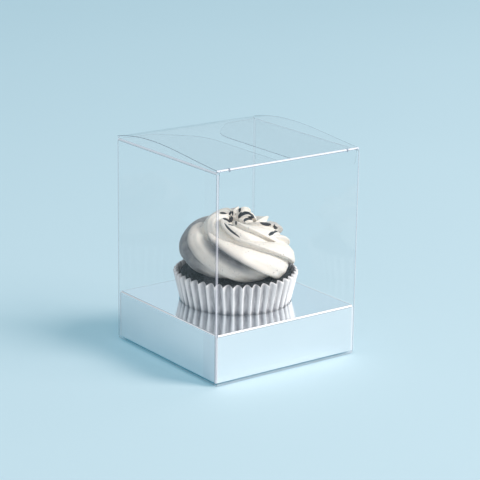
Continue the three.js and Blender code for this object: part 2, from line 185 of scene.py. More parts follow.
@dataclass
class NodeSheet:
    """Short ways to place and link shader nodes in one tree."""

    tree: bpy.types.NodeTree

    def node(self, kind: str, **settings: object) -> bpy.types.Node:
        """Place a node of a kind, with its settings as attributes."""
        made = self.tree.nodes.new(kind)
        for key, value in settings.items():
            setattr(made, key, value)
        return made

    def put(self, value: object, socket: Socket) -> None:
        """Link a socket to another one, or set its value."""
        if isinstance(value, Socket):
            self.tree.links.new(value, socket)
        else:
            socket.default_value = value

    def fill(self, node: bpy.types.Node, values: dict[str, object]) -> Socket:
        """Link or set a node's inputs by their names, and give its first output."""
        for name, value in values.items():
            self.put(value, node.inputs[name])
        return node.outputs[0]

    def math(self, operation: str, *values: object, clamp: bool = False) -> Socket:
        """Work out one number from sockets or numbers.

        Args:
            operation: Name of the Math node's operation.
            values: Its inputs in order.
            clamp: Whether the result is held between 0 and 1.

        Returns:
            The result's socket.
        """
        made = self.node("ShaderNodeMath", operation=operation, use_clamp=clamp)
        for value, socket in zip(values, made.inputs):
            self.put(value, socket)
        return made.outputs[0]

    def span(self, value: object, low: object, high: object) -> Socket:
        """Ease a number from 0 at low to 1 at high, as smooth does for arrays."""
        made = self.node("ShaderNodeMapRange", interpolation_type="SMOOTHSTEP", clamp=True)
        return self.fill(made, {"Value": value, "From Min": low, "From Max": high})

    def mix(self, share: object, first: object, second: object) -> Socket:
        """Mix two colours: the share 0 gives the first, and 1 gives the second."""
        made = self.node("ShaderNodeMix", data_type="RGBA")
        self.put(share, made.inputs[0])
        self.put(first, made.inputs[6])
        self.put(second, made.inputs[7])
        return made.outputs[2]

    def blend(self, share: object, first: object, second: object) -> Socket:
        """Mix two shaders: the share 0 gives the first, and 1 gives the second."""
        made = self.node("ShaderNodeMixShader")
        for value, socket in zip((share, first, second), made.inputs):
            self.put(value, socket)
        return made.outputs[0]

    def noise(self, place: object, scale: object, detail: float) -> Socket:
        """Give cloudy noise between 0 and 1 at a place."""
        made = self.node("ShaderNodeTexNoise")
        return self.fill(made, {"Vector": place, "Scale": scale, "Detail": detail})

    def place(self) -> Socket:
        """Give the coordinates that every pattern follows: the object's own."""
        return self.node("ShaderNodeTexCoord").outputs["Object"]

    def split(self, vector: object) -> bpy.types.bpy_prop_collection:
        """Give the X, Y and Z sockets of a vector."""
        parts = self.node("ShaderNodeSeparateXYZ")
        self.put(vector, parts.inputs[0])
        return parts.outputs

    def all_of(self, first: object, *others: object) -> Socket:
        """Multiply masks, so that only what lies in all of them is left."""
        for other in others:
            first = self.math("MULTIPLY", first, other)
        return first

    def value(self, name: str) -> Socket:
        """Give a number stored on the mesh under a name."""
        return self.node("ShaderNodeAttribute", attribute_name=name).outputs["Fac"]

    def bump(self, height: object, relief: Relief) -> Socket:
        """Give the normal of a surface raised by a height, as strongly as a relief says."""
        values = {"Strength": relief.strength, "Distance": relief.distance}
        return self.fill(self.node("ShaderNodeBump"), {**values, "Height": height})

    def raised(self, place: object, relief: Relief) -> Socket:
        """Give the normal of a surface raised by a relief's own noise."""
        return self.bump(self.noise(place, relief.scale, relief.detail), relief)


def fold_line_group() -> bpy.types.NodeTree:
    """Build the masks of the painted highlight line and the painted shade outlines of a scored
    fold.

    The fold's outer arc lies inside both of the planes that meet there. The sum of
    the two depths over the fold's radius is 1 at the arc's ends and 0.59 in its
    middle. The painted highlight line is where this ratio is low, and the painted
    shade outlines are where it is near 1 and the place still lies close to one of the planes.

    Returns:
        The node group, with inputs First, Second and Radius, outputs Light and Dark.
    """
    group = bpy.data.node_groups.new("fold_line", "ShaderNodeTree")
    face = group.interface
    for name in ("First", "Second", "Radius"):
        face.new_socket(name, in_out="INPUT", socket_type="NodeSocketFloat")
    for name in ("Light", "Dark"):
        face.new_socket(name, in_out="OUTPUT", socket_type="NodeSocketFloat")
    sheet = NodeSheet(group)
    inputs = sheet.node("NodeGroupInput").outputs
    output = sheet.node("NodeGroupOutput")
    first = sheet.math("DIVIDE", inputs["First"], inputs["Radius"])
    second = sheet.math("DIVIDE", inputs["Second"], inputs["Radius"])
    ratio = sheet.math("ADD", first, second)
    flat = sheet.math("LESS_THAN", sheet.math("MINIMUM", first, second), 0.1)
    light = sheet.math("SUBTRACT", 1.0, sheet.span(ratio, 0.8, 0.88))
    ends = sheet.math("MULTIPLY", sheet.span(ratio, 0.8, 0.86), flat)
    near = sheet.math("SUBTRACT", 1.0, sheet.span(ratio, 1.12, 1.24))
    sheet.put(light, output.inputs["Light"])
    sheet.put(sheet.math("MULTIPLY", ends, near), output.inputs["Dark"])
    return group


def mottle_group() -> bpy.types.NodeTree:
    """Build a soft mottle: cloudy noise, eased so that it stays mostly at 0 or 1.

    Returns:
        The node group, with inputs Place, Scale, Low and High and output Mask.
    """
    group = bpy.data.node_groups.new("mottle", "ShaderNodeTree")
    face = group.interface
    face.new_socket("Place", in_out="INPUT", socket_type="NodeSocketVector")
    for name in ("Scale", "Low", "High"):
        face.new_socket(name, in_out="INPUT", socket_type="NodeSocketFloat")
    face.new_socket("Mask", in_out="OUTPUT", socket_type="NodeSocketFloat")
    sheet = NodeSheet(group)
    inputs = sheet.node("NodeGroupInput").outputs
    output = sheet.node("NodeGroupOutput")
    cloud = sheet.noise(inputs["Place"], inputs["Scale"], 4.0)
    sheet.put(sheet.span(cloud, inputs["Low"], inputs["High"]), output.inputs["Mask"])
    return group


@dataclass(frozen=True)
class Fold:
    """A scored fold between two planes, each at a distance in its own direction, with the
    strengths of its painted highlight line (light) and painted shade outlines (dark).
    """

    first: Toward
    first_at: float
    second: Toward
    second_at: float
    radius: float
    light: float
    dark: float


@dataclass
class Effects:
    """Node groups that more than one material uses."""

    fold_line: bpy.types.NodeTree = field(default_factory=fold_line_group)
    mottle: bpy.types.NodeTree = field(default_factory=mottle_group)

    def distance(self, sheet: NodeSheet, place: object, toward: Toward) -> Socket:
        """Measure a place's distance from the middle in a direction."""
        operation, axis, second = toward.value
        return sheet.math(operation, sheet.split(place)[axis], second)

    def folded(
        self, sheet: NodeSheet, place: object, folds: tuple[Fold, ...]
    ) -> tuple[Socket, Socket]:
        """Place the painted highlight lines and painted shade outlines of several folds in a
        material.

        Args:
            sheet: The material's nodes.
            place: Coordinates of the surface.
            folds: The folds, each with the strength of its own lines.

        Returns:
            The painted highlight lines' mask and the painted shade outlines' mask.
        """
        light, dark = 0.0, 0.0
        for fold in folds:
            made = sheet.node("ShaderNodeGroup", node_tree=self.fold_line)
            planes = ((fold.first, fold.first_at), (fold.second, fold.second_at))
            for socket, (toward, at) in zip(("First", "Second"), planes):
                far = self.distance(sheet, place, toward)
                sheet.put(sheet.math("SUBTRACT", at, far), made.inputs[socket])
            made.inputs["Radius"].default_value = fold.radius
            line = sheet.math("MULTIPLY", made.outputs["Light"], fold.light)
            light = sheet.math("MAXIMUM", line, light)
            line = sheet.math("MULTIPLY", made.outputs["Dark"], fold.dark)
            dark = sheet.math("MAXIMUM", line, dark)
        return light, dark

    def mottled(self, sheet: NodeSheet, place: object, mottle: Mottle) -> Socket:
        """Place the mottle in a material.

        Args:
            sheet: The material's nodes.
            place: Coordinates of the surface.
            mottle: How fine the noise is, and where its mask begins and ends.

        Returns:
            The mask's socket.
        """
        made = sheet.node("ShaderNodeGroup", node_tree=self.mottle)
        values = {"Scale": mottle.scale, "Low": mottle.low, "High": mottle.high}
        return sheet.fill(made, {**values, "Place": place})


def new_material(name: str) -> tuple[bpy.types.Material, NodeSheet, bpy.types.Node]:
    """Start a material with an empty tree and its output node."""
    material = bpy.data.materials.new(name)
    material.use_nodes = True
    material.node_tree.nodes.clear()
    sheet = NodeSheet(material.node_tree)
    return material, sheet, sheet.node("ShaderNodeOutputMaterial")


@dataclass(frozen=True)
class ClearFilm:
    """Clear film: see-through, glossier at a slant, with painted highlights and painted shade
    where bent or cut.
    """

    name: str
    folds: tuple[Fold, ...]
    clear: tuple = (0.997, 0.998, 0.999, 1.0)
    # Colour of the painted highlights along the folds, and also of the real scuffs and glue
    # haze.
    painted_highlight_and_haze: tuple = (0.86, 0.86, 0.96, 1.0)
    shade: tuple = (0.2, 0.24, 0.32, 1.0)
    gloss_at_front: float = 0.02
    gloss_at_slant: float = 0.3
    gloss_roughness: float = 0.04
    coat_roughness: float = 0.3
    seen_from_inside: float = 0.35
    wave: Relief = Relief(16.0, 1.0, 0.004, 0.25)
    scuffs: Mottle = Mottle(55.0, 0.62, 0.8)
    scuff_cover: float = 0.01

    def build(self, effects: Effects) -> bpy.types.Material:
        """Make the material.

        The share of gloss is gloss_at_front plus gloss_at_slant times the fifth power
        of how far the surface faces away from the eye. The painted highlights and painted
        shade at the folds and cut edges, with the scuffs and glue haze, lie over the clear
        film as a thin coat, which is weaker when seen from inside the box.
        """
        material, sheet, output = new_material(self.name)
        place = sheet.place()
        normal = sheet.raised(place, self.wave)

        facing = sheet.node("ShaderNodeLayerWeight")
        sheet.fill(facing, {"Blend": 0.5, "Normal": normal})
        slant = sheet.math("POWER", facing.outputs["Facing"], 5.0)
        share = sheet.math("MULTIPLY_ADD", slant, self.gloss_at_slant, self.gloss_at_front)

        through = sheet.fill(sheet.node("ShaderNodeBsdfTransparent"), {"Color": self.clear})
        gloss = sheet.node("ShaderNodeBsdfGlossy")
        gloss = sheet.fill(gloss, {"Roughness": self.gloss_roughness, "Normal": normal})
        film = sheet.blend(share, through, gloss)

        # Painted highlight and painted shade lines along the folds.
        light, dark = effects.folded(sheet, place, self.folds)
        scuffs = effects.mottled(sheet, place, self.scuffs)
        light = sheet.math("MULTIPLY_ADD", scuffs, self.scuff_cover, light, clamp=True)
        light = sheet.math("MAXIMUM", light, self.haze(sheet, place))
        # Cut edges get painted shade.
        dark = sheet.math("MAXIMUM", dark, self.painted_cut_shade(sheet, place))
        inside = sheet.node("ShaderNodeNewGeometry").outputs["Backfacing"]
        kept = sheet.math("MULTIPLY_ADD", inside, self.seen_from_inside - 1.0, 1.0)
        cover = sheet.math("MULTIPLY", sheet.math("MAXIMUM", light, dark), kept)

        # Painted shade colour where the dark mask wins, else the painted highlight colour.
        color = sheet.mix(sheet.math("GREATER_THAN", dark, light), self.painted_highlight_and_haze, self.shade)
        coat = sheet.node("ShaderNodeBsdfPrincipled")
        coat = sheet.fill(coat, {"Base Color": color, "Roughness": self.coat_roughness})
        sheet.put(sheet.blend(cover, film, coat), output.inputs["Surface"])
        return material

    def normal_part(self, sheet: NodeSheet, axis: str) -> Socket:
        """Give the size of one part of the surface's own direction."""
        normal = sheet.node("ShaderNodeNewGeometry").outputs["True Normal"]
        return sheet.math("ABSOLUTE", sheet.split(normal)[axis])

    def haze(self, sheet: NodeSheet, place: object) -> Socket | float:
        """Give the mask of hazy areas."""
        return 0.0

    def painted_cut_shade(self, sheet: NodeSheet, place: object) -> Socket | float:
        """Give the mask of painted shade on cut edges."""
        return 0.0


@dataclass(frozen=True)
class CartonFilm(ClearFilm):
    """Film of the carton, with a glued seam tab, and painted shade on the cut edges of the dust
    flaps.
    """

    flap_low: float = 110.45 * MM
    flap_high: float = 110.82 * MM
    tab_face: float = -44.45 * MM
    tab_end: float = -33.3 * MM
    tab_haze: float = 0.12
    flap_reach: float = 44.2 * MM
    cut_shade_strength: float = 0.75

    def haze(self, sheet: NodeSheet, place: object) -> Socket:
        """Give the seam tab's inner face, which the glue leaves slightly hazy."""
        at = sheet.split(place)
        left = sheet.math("LESS_THAN", at["X"], 0.0)
        face = sheet.math("GREATER_THAN", at["X"], self.tab_face)
        front = sheet.math("LESS_THAN", at["Y"], self.tab_end)
        sideways = sheet.math("GREATER_THAN", self.normal_part(sheet, "X"), 0.5)
        return sheet.all_of(left, face, front, sideways, self.tab_haze)

    def painted_cut_shade(self, sheet: NodeSheet, place: object) -> Socket:
        """Give the upright faces at the height of the dust flaps, inside the walls, where shade
        is painted.
        """
        at = sheet.split(place)
        above = sheet.math("GREATER_THAN", at["Z"], self.flap_low)
        below = sheet.math("LESS_THAN", at["Z"], self.flap_high)
        upright = sheet.math("LESS_THAN", self.normal_part(sheet, "Z"), 0.4)
        wide = sheet.math("ABSOLUTE", at["X"])
        deep = sheet.math("ABSOLUTE", at["Y"])
        inner = sheet.math("LESS_THAN", sheet.math("MAXIMUM", wide, deep), self.flap_reach)
        return sheet.all_of(above, below, upright, inner, self.cut_shade_strength)


@dataclass(frozen=True)
class LidFilm(ClearFilm):
    """Film of the lid, with painted shade on the cut edges at its sides and a painted dark dot
    where each slit ends.
    """

    slit_end: float = 37.3 * MM
    slit_dot: float = 0.5 * MM
    slit_front: float = -43.2 * MM
    slit_height: float = 110.4 * MM
    cut_shade_strength: float = 0.85

    def painted_cut_shade(self, sheet: NodeSheet, place: object) -> Socket:
        """Give the faces that look sideways, and the ends of the slits, where shade is painted.
        """
        sides = sheet.math("GREATER_THAN", self.normal_part(sheet, "X"), 0.8)
        at = sheet.split(place)
        wide = sheet.math("ABSOLUTE", at["X"])
        near = sheet.math("COMPARE", wide, self.slit_end, self.slit_dot)
        front = sheet.math("LESS_THAN", at["Y"], self.slit_front)
        high = sheet.math("GREATER_THAN", at["Z"], self.slit_height)
        dot = sheet.all_of(near, front, high)
        return sheet.math("MULTIPLY", sheet.math("MAXIMUM", sides, dot), self.cut_shade_strength)


@dataclass(frozen=True)
class SilverCard:
    """Card with a mirror-like silver face, with a painted highlight line along its folds, edged
    with painted shade.
    """

    name: str = "silver_card_finish"
    # Each fold's light is its painted highlight, and its dark the painted shade outline.
    folds: tuple[Fold, ...] = (
        Fold(Toward.SIDES, 44.4 * MM, Toward.UP, 27.0 * MM, 1.05 * MM, 1.0, 0.6),
        Fold(Toward.ENDS, 44.4 * MM, Toward.UP, 27.0 * MM, 0.95 * MM, 1.0, 0.5),
        Fold(Toward.SIDES, 44.4 * MM, Toward.ENDS, 44.4 * MM, 1.3 * MM, 0.5, 0.0),
    )
    deck: float = 27.0 * MM
    silver: tuple = (0.93, 0.95, 0.97, 1.0)
    # Pale colour of the painted highlight along the folds, then dark colour of their painted
    # shade outlines.
    fold: tuple = (0.97, 0.96, 0.99, 1.0)
    outline: tuple = (0.3, 0.3, 0.34, 1.0)
    flange_from: float = 0.6 * MM
    flange_whole: float = 1.2 * MM
    cloud: Mottle = Mottle(38.0, 0.3, 0.8)
    swell: Relief = Relief(22.0, 1.0, 0.0012, 0.3)
    deck_roughness: float = 0.1
    cloud_roughness: float = 0.04
    flange_roughness: float = 0.21
    highlight_roughness: float = 0.3
    flange_satin: float = 0.12
    highlight_dullness: float = 0.9

    def build(self, effects: Effects) -> bpy.types.Material:
        """Make the material: metal everywhere but on the painted highlight line along each
        fold.

        The flanges are more satin than the deck, from just under the deck's fold.
        """
        material, sheet, output = new_material(self.name)
        place = sheet.place()
        fold_highlight, dark = effects.folded(sheet, place, self.folds)
        low, high = self.deck - self.flange_whole, self.deck - self.flange_from
        flange = sheet.math("SUBTRACT", 1.0, sheet.span(sheet.split(place)["Z"], low, high))
        cloud = effects.mottled(sheet, place, self.cloud)

        # Painted highlight on the folds, and painted shade on their outlines.
        color = sheet.mix(dark, sheet.mix(fold_highlight, self.silver, self.fold), self.outline)
        shine = sheet.math("MULTIPLY_ADD", flange, -self.flange_satin, 1.0)
        # The painted highlight line is less metallic and rougher.
        shine = sheet.math("MULTIPLY_ADD", fold_highlight, -self.highlight_dullness, shine, clamp=True)
        rough = sheet.math("MULTIPLY_ADD", cloud, self.cloud_roughness, self.deck_roughness)
        rough = sheet.math("MULTIPLY_ADD", flange, self.flange_roughness, rough)
        rough = sheet.math("MULTIPLY_ADD", fold_highlight, self.highlight_roughness, rough)
        values = {
            "Base Color": color,
            "Metallic": shine,
            "Roughness": rough,
            "Normal": sheet.raised(place, self.swell),
        }
        metal = sheet.fill(sheet.node("ShaderNodeBsdfPrincipled"), values)
        sheet.put(metal, output.inputs["Surface"])
        return material


@dataclass(frozen=True)
class CupPaper:
    """Satin paper, white on the ridges of the pleats, with painted shade in the valleys and
    towards the foot.
    """

    name: str = "cup_paper_finish"
    ridge: tuple = (0.93, 0.92, 0.94, 1.0)
    # Colour of the painted shade in the pleat valleys and towards the foot.
    valley: tuple = (0.25, 0.245, 0.27, 1.0)
    valley_span: tuple[float, float] = (0.25, 0.95)
    foot_span: tuple[float, float] = (0.42, 0.7)
    foot_share: float = 0.25
    streaks: Mottle = Mottle(700.0, 0.3, 0.75)
    streak_stretch: tuple = (1.0, 1.0, 0.12)
    streak_share: float = 0.4
    fibres: Relief = Relief(1500.0, 3.0, 0.0002, 0.35)
    roughness: float = 0.42
    specular: float = 0.6

    def build(self, effects: Effects) -> bpy.types.Material:
        """Make the material from the mesh's own valley and height values, with painted shade
        deep in the valleys, broken up by streaks, and towards the foot.
        """
        material, sheet, output = new_material(self.name)
        place = sheet.place()
        fine = sheet.node("ShaderNodeMapping")
        fine.inputs["Scale"].default_value = self.streak_stretch
        sheet.put(place, fine.inputs["Vector"])
        streaks = effects.mottled(sheet, fine.outputs[0], self.streaks)
        # Painted shade deep in the valleys, broken up by streaks.
        depth = sheet.span(sheet.value("valley"), *self.valley_span)
        uneven = sheet.math("MULTIPLY_ADD", streaks, self.streak_share, 1.0 - self.streak_share)
        share = sheet.math("MULTIPLY", depth, uneven, clamp=True)
        # Painted shade towards the foot of the cup.
        foot = sheet.math("SUBTRACT", 1.0, sheet.span(sheet.value("rise"), *self.foot_span))
        share = sheet.math("MULTIPLY_ADD", foot, self.foot_share, share, clamp=True)

        values = {
            "Base Color": sheet.mix(share, self.ridge, self.valley),
            "Roughness": self.roughness,
            "Specular IOR Level": self.specular,
            "Normal": sheet.raised(place, self.fibres),
        }
        paper = sheet.fill(sheet.node("ShaderNodeBsdfPrincipled"), values)
        sheet.put(paper, output.inputs["Surface"])
        return material


@dataclass(frozen=True)
class CakeCrumb:
    """Dark, open crumb with a dull surface."""

    name: str = "cake_crumb_finish"
    crumb: tuple = (0.04, 0.048, 0.058, 1.0)
    # Colour of the painted shade in the low pores.
    pore_shade: tuple = (0.008, 0.01, 0.013, 1.0)
    pores: Mottle = Mottle(900.0, 0.42, 0.6)
    lumps: Relief = Relief(350.0, 3.0, 0.0008, 0.8)
    lump_share: float = 0.6
    roughness: float = 0.85

    def build(self, effects: Effects) -> bpy.types.Material:
        """Make the material: the crumb colour with painted shade in its low pores, and a rough
        bump.
        """
        material, sheet, output = new_material(self.name)
        place = sheet.place()
        pores = effects.mottled(sheet, place, self.pores)
        lumps = sheet.noise(place, self.lumps.scale, self.lumps.detail)
        height = sheet.math("MULTIPLY_ADD", lumps, self.lump_share, pores)
        values = {
            "Base Color": sheet.mix(pores, self.pore_shade, self.crumb),
            "Roughness": self.roughness,
            "Normal": sheet.bump(height, self.lumps),
        }
        cake = sheet.fill(sheet.node("ShaderNodeBsdfPrincipled"), values)
        sheet.put(cake, output.inputs["Surface"])
        return material


@dataclass(frozen=True)
class MarbledIcing:
    """Whipped icing: cream, with grey ribbons and near-black streaks."""

    name: str = "marbled_icing_finish"
    cream: tuple = (0.88, 0.84, 0.78, 1.0)
    warm: tuple = (0.8, 0.74, 0.68, 1.0)
    grey: tuple = (0.2, 0.2, 0.215, 1.0)
    ink: tuple = (0.012, 0.012, 0.018, 1.0)
    clouds: Mottle = Mottle(120.0, 0.3, 0.75)
    cloud_share: float = 0.55
    specks: Mottle = Mottle(800.0, 0.64, 0.7)
    speck_share: float = 0.6
    ragged_scale: float = 260.0
    ink_span: tuple[float, float] = (0.3, 0.5)
    soft: Relief = Relief(240.0, 2.0, 0.0006, 0.3)
    grain_scale: float = 900.0
    grain_share: float = 0.4
    roughness: float = 0.5
    glow_weight: float = 0.12
    glow_depth: float = 3.0 * MM
    glow_radius: tuple = (1.0, 0.8, 0.6)

    def build(self, effects: Effects) -> bpy.types.Material:
        """Make the material from the mesh's own grey and ink values.

        Noise between 0.7 and 1.2 times breaks up the edges of both.
        """
        material, sheet, output = new_material(self.name)
        place = sheet.place()
        clouds = effects.mottled(sheet, place, self.clouds)
        clouds = sheet.math("MULTIPLY", clouds, self.cloud_share)
        base = sheet.mix(clouds, self.cream, self.warm)
        ragged = sheet.noise(place, self.ragged_scale, 4.0)
        ragged = sheet.math("MULTIPLY_ADD", ragged, 0.5, 0.7)
        grey = sheet.math("MULTIPLY", sheet.value("grey"), ragged, clamp=True)
        marbled = sheet.mix(grey, base, self.grey)
        specks = effects.mottled(sheet, place, self.specks)
        specks = sheet.math("MULTIPLY", specks, self.speck_share)
        marbled = sheet.mix(specks, marbled, self.grey)
        ink = sheet.math("MULTIPLY", sheet.value("ink"), ragged)
        ink = sheet.span(ink, *self.ink_span)

        grain = sheet.noise(place, self.grain_scale, 3.0)
        soft = sheet.noise(place, self.soft.scale, self.soft.detail)
        height = sheet.math("MULTIPLY_ADD", grain, self.grain_share, soft)
        values = {
            "Base Color": sheet.mix(ink, marbled, self.ink),
            "Roughness": self.roughness,
            "Subsurface Weight": self.glow_weight,
            "Subsurface Scale": self.glow_depth,
            "Subsurface Radius": self.glow_radius,
            "Normal": sheet.bump(height, self.soft),
        }
        icing = sheet.fill(sheet.node("ShaderNodeBsdfPrincipled"), values)
        sheet.put(icing, output.inputs["Surface"])
        return material


def dress(node: str, material: bpy.types.Material) -> None:
    """Put a material on every slot of a CAD node, and leave its mesh alone."""
    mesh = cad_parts[node].data
    mesh.materials.clear()
    mesh.materials.append(material)


@dataclass
class ClearCarton:
    """The film box and its lid: both are CAD nodes that keep their shape."""

    half_width: float = 45.0 * MM
    flap_top: float = 110.8 * MM
    lid_front: float = 44.4 * MM
    lid_top: float = 112.0 * MM
    fold_radius: float = 0.9 * MM
    bottom_layers: float = 2.1 * MM

    def build(self, effects: Effects) -> None:
        """Dress the carton and the lid in clear film."""
        sides, ends = Toward.SIDES, Toward.ENDS
        half, radius = self.half_width, self.fold_radius
        carton = CartonFilm(
            "clear_film",
            (
                # Corner and top folds: painted highlight lines edged with painted shade.
                Fold(sides, half, ends, half, radius, 0.5, 0.5),
                Fold(sides, half, Toward.UP, self.flap_top, radius, 0.7, 0.45),
                # Folds at the floor: a faint painted light band that brightens the dark bottom
                # layers.
                Fold(sides, half, Toward.DOWN, 0.0, self.bottom_layers, 0.18, 0.0),
                Fold(ends, half, Toward.DOWN, 0.0, self.bottom_layers, 0.18, 0.0),
            ),
        )
        lid = LidFilm(
            "clear_lid_film",
            (
                # The lid's front fold: a painted highlight line edged with painted shade.
                Fold(Toward.FRONT, self.lid_front, Toward.UP, self.lid_top, radius, 0.75, 0.5),
            ),
        )
        dress("carton", carton.build(effects))
        dress("lid", lid.build(effects))
        LOG.info("carton and lid dressed in clear film")


@dataclass
class SilverInsert:
    """The folded silver card under the cupcake: a CAD node that keeps its shape."""

    finish: SilverCard = field(default_factory=SilverCard)

    def build(self, effects: Effects) -> None:
        """Dress the insert in silver card."""
        dress("insert", self.finish.build(effects))
        LOG.info("insert dressed in silver card")


@dataclass
class PleatedCup:
    """The paper cup, its wall pleated from the floor to the rim."""

    pleats: int = 42
    points_per_pleat: int = 12
    side_rows: int = 24
    base: float = 12.0 * MM
    height: float = 32.0 * MM
    base_radius: float = 26.0 * MM
    rim_radius: float = 33.4 * MM
    depth_at_base: float = 0.7 * MM
    depth_at_rim: float = 2.4 * MM
    scallop: float = 1.4 * MM
    paper: float = 0.2 * MM
    pleat_power: float = 0.9
    depth_unevenness: float = 0.1
    lean_angle: float = 0.006
    seed: int = 7
    finish: CupPaper = field(default_factory=CupPaper)

    def ring(self, rise: np.ndarray, inset: float) -> tuple[np.ndarray, np.ndarray]:
        """Work out rings of the pleated wall.

        A point's distance from the axis is the cone's radius at its height, less the
        inset, less the pleat's depth times the size of the sine of pi times its turn,
        raised to the pleat power. Ridges stand a scallop lower than valleys at the
        rim, and in step below it. Each pleat leans and deepens a little by chance.

        Args:
            rise: Share of the height of each ring.
            inset: How far the ring lies inside the outer skin, in metres.

        Returns:
            The points of the rings, and how deep in a valley each one lies.
        """
        count = self.pleats * self.points_per_pleat
        turn = np.arange(count) / self.points_per_pleat
        angle = 2.0 * np.pi * np.arange(count) / count
        rng = np.random.default_rng(self.seed)
        shift = rng.normal(0.0, 1.0, self.pleats)
        lean = np.interp(turn, np.arange(self.pleats + 1), np.append(shift, shift[0]))
        inward = np.abs(np.sin(np.pi * turn)) ** self.pleat_power
        share = rise[:, None]
        middle = share * (1.0 - share) * 4.0
        drop = self.scallop * share * (inward[None, :] - 1.0)
        depth = self.depth_at_base + (self.depth_at_rim - self.depth_at_base) * share
        depth = depth * (1.0 + self.depth_unevenness * lean[None, :] * middle)
        z = self.base + self.height * share + drop
        cone = self.base_radius + (self.rim_radius - self.base_radius) * (
            (z - self.base) / self.height
        )
        r = cone - inset - depth * inward[None, :]
        around = angle[None, :] + self.lean_angle * lean[None, :] * share
        points = np.stack([r * np.cos(around), r * np.sin(around), z], axis=-1)
        return points, np.broadcast_to(inward[None, :], r.shape)

    def build(self, effects: Effects) -> None:
        """Make the cup: floor, outer wall, rim, inner wall and inner floor."""
        rise = np.linspace(0.0, 1.0, self.side_rows)
        outer, outer_valley = self.ring(rise, 0.0)
        inner, inner_valley = self.ring(rise[::-1], self.paper)
        inner[-1, :, 2] = self.base + self.paper
        rows = np.concatenate([outer, inner])
        valley = np.concatenate([outer_valley, inner_valley])
        height = np.concatenate([rise, rise[::-1]])[:, None] * np.ones_like(valley)
        cup = closed_surface(
            "pleated_cup",
            rows,
            np.array([0.0, 0.0, self.base]),
            np.array([0.0, 0.0, self.base + self.paper]),
        )
        add_values(cup, "valley", valley)
        add_values(cup, "rise", height)
        cup.data.materials.append(self.finish.build(effects))
        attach(cup, "box")
        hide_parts("cupcake_cup")
        LOG.info("pleated cup with %d vertices", len(cup.data.vertices))


@dataclass
class DarkCake:
    """The cake in the cup, domed and with an uneven crumb."""

    foot: float = 12.6 * MM
    edge: float = 41.8 * MM
    dome: float = 3.2 * MM
    foot_radius: float = 24.6 * MM
    edge_radius: float = 29.9 * MM
    shoulder: float = 2.0 * MM
    around: int = 160
    side_rows: int = 10
    top_rows: int = 40
    crumb_size: float = 2.2 * MM
    crumb_height: float = 0.22 * MM
    seed: int = 3
    finish: CakeCrumb = field(default_factory=CakeCrumb)

    def build(self, effects: Effects) -> None:
        """Make the cake as rings from the foot, up the side and over the dome.

        The dome's height is the edge's height plus the dome times (1 minus the
        square of the share of the radius), and the crumb moves each point by a
        fraction of a millimetre.
        """
        side = np.linspace(0.0, 1.0, self.side_rows)
        side_r = self.foot_radius + (self.edge_radius - self.foot_radius) * side
        side_z = self.foot + (self.edge - self.shoulder - self.foot) * side
        top = np.linspace(0.985, 0.02, self.top_rows)
        top_r = self.edge_radius * top
        top_z = self.edge + self.dome * (1.0 - top**2)
        radius = np.concatenate([side_r, top_r])[:, None]
        z = np.concatenate([side_z, top_z])[:, None]
        angle = (2.0 * np.pi * np.arange(self.around) / self.around)[None, :]
        rows = np.stack(
            [radius * np.cos(angle), radius * np.sin(angle), z + 0.0 * angle], axis=-1
        )
        crumb = ripple(rows, 60, self.crumb_size, self.seed) * self.crumb_height
        dome, crumb = rows[self.side_rows :], crumb[self.side_rows :]
        dome[:, :, 2] += crumb
        dome[:, :, :2] *= 1.0 - np.abs(crumb[:, :, None]) / self.edge_radius
        cake = closed_surface(
            "dark_cake",
            rows,
            np.array([0.0, 0.0, self.foot]),
            np.array([0.0, 0.0, self.edge + self.dome]),
        )
        cake.data.materials.append(self.finish.build(effects))
        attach(cake, "box")
        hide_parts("cake")
        LOG.info("cake with %d vertices", len(cake.data.vertices))


@dataclass(frozen=True)
class Ribbon:
    """A band of colour on the rope: from one lobe and stretch of the run to another.

    The taper is the share of the width that is lost at both ends.
    """

    low: float
    high: float
    start: float
    end: float
    strength: float
    taper: float = 0.0

    def at(self, share: np.ndarray, place: np.ndarray) -> np.ndarray:
        """Give how strong the band is at each point, eased in at its four sides.

        Args:
            share: Share of the run of each ring, as a column.
            place: Lobe number plus share of the lobe of each point, as a row.

        Returns:
            Strengths between 0 and the band's own strength.
        """
        soft = 0.3 * (self.high - self.low)
        run = np.clip((share - self.start) / (self.end - self.start), 0.0, 1.0)
        pinch = 0.5 * (self.high - self.low) * self.taper * (2.0 * run - 1.0) ** 2
        rise = np.clip((place - self.low - pinch + soft) / (2.0 * soft), 0.0, 1.0)
        fall = np.clip((self.high - pinch - place + soft) / (2.0 * soft), 0.0, 1.0)
        across = (rise * fall) ** 2 * (3.0 - 2.0 * rise * fall)
        along = smooth(share, self.start - 0.02, self.start + 0.02)
        along = along * (1.0 - smooth(share, self.end - 0.03, self.end + 0.03))
        return self.strength * across * along


@dataclass(frozen=True)
class Stroke:
    """A dark smear along a straight line near the surface, its places in millimetres."""

    start: tuple[float, float, float]
    end: tuple[float, float, float]
    half_width: float

    def at(self, points: np.ndarray) -> np.ndarray:
        """Give how strong the smear is at each point, from 0 to 1.

        With t the share of the line at which a point lies beside it, the smear's half
        width there is half_width times (4 t (1 - t)) to the power 0.35. Its strength
        eases from 1 at half of that to 0 at 1.4 times it. Heights count for less, so
        that the smear runs on over small dips.

        Args:
            points: Positions in metres, with x, y and z along the last axis.

        Returns:
            The strengths.
        """
        weight = np.array([1.0, 1.0, 0.4])
        first = np.array(self.start) * MM * weight
        line = np.array(self.end) * MM * weight - first
        offset = points * weight - first
        t = np.clip(offset @ line / (line @ line), 0.0, 1.0)
        away = np.linalg.norm(offset - t[..., None] * line, axis=-1)
        width = self.half_width * MM * ((4.0 * t * (1.0 - t)) ** 0.35 + 0.01)
        return 1.0 - smooth(away / width, 0.5, 1.4)


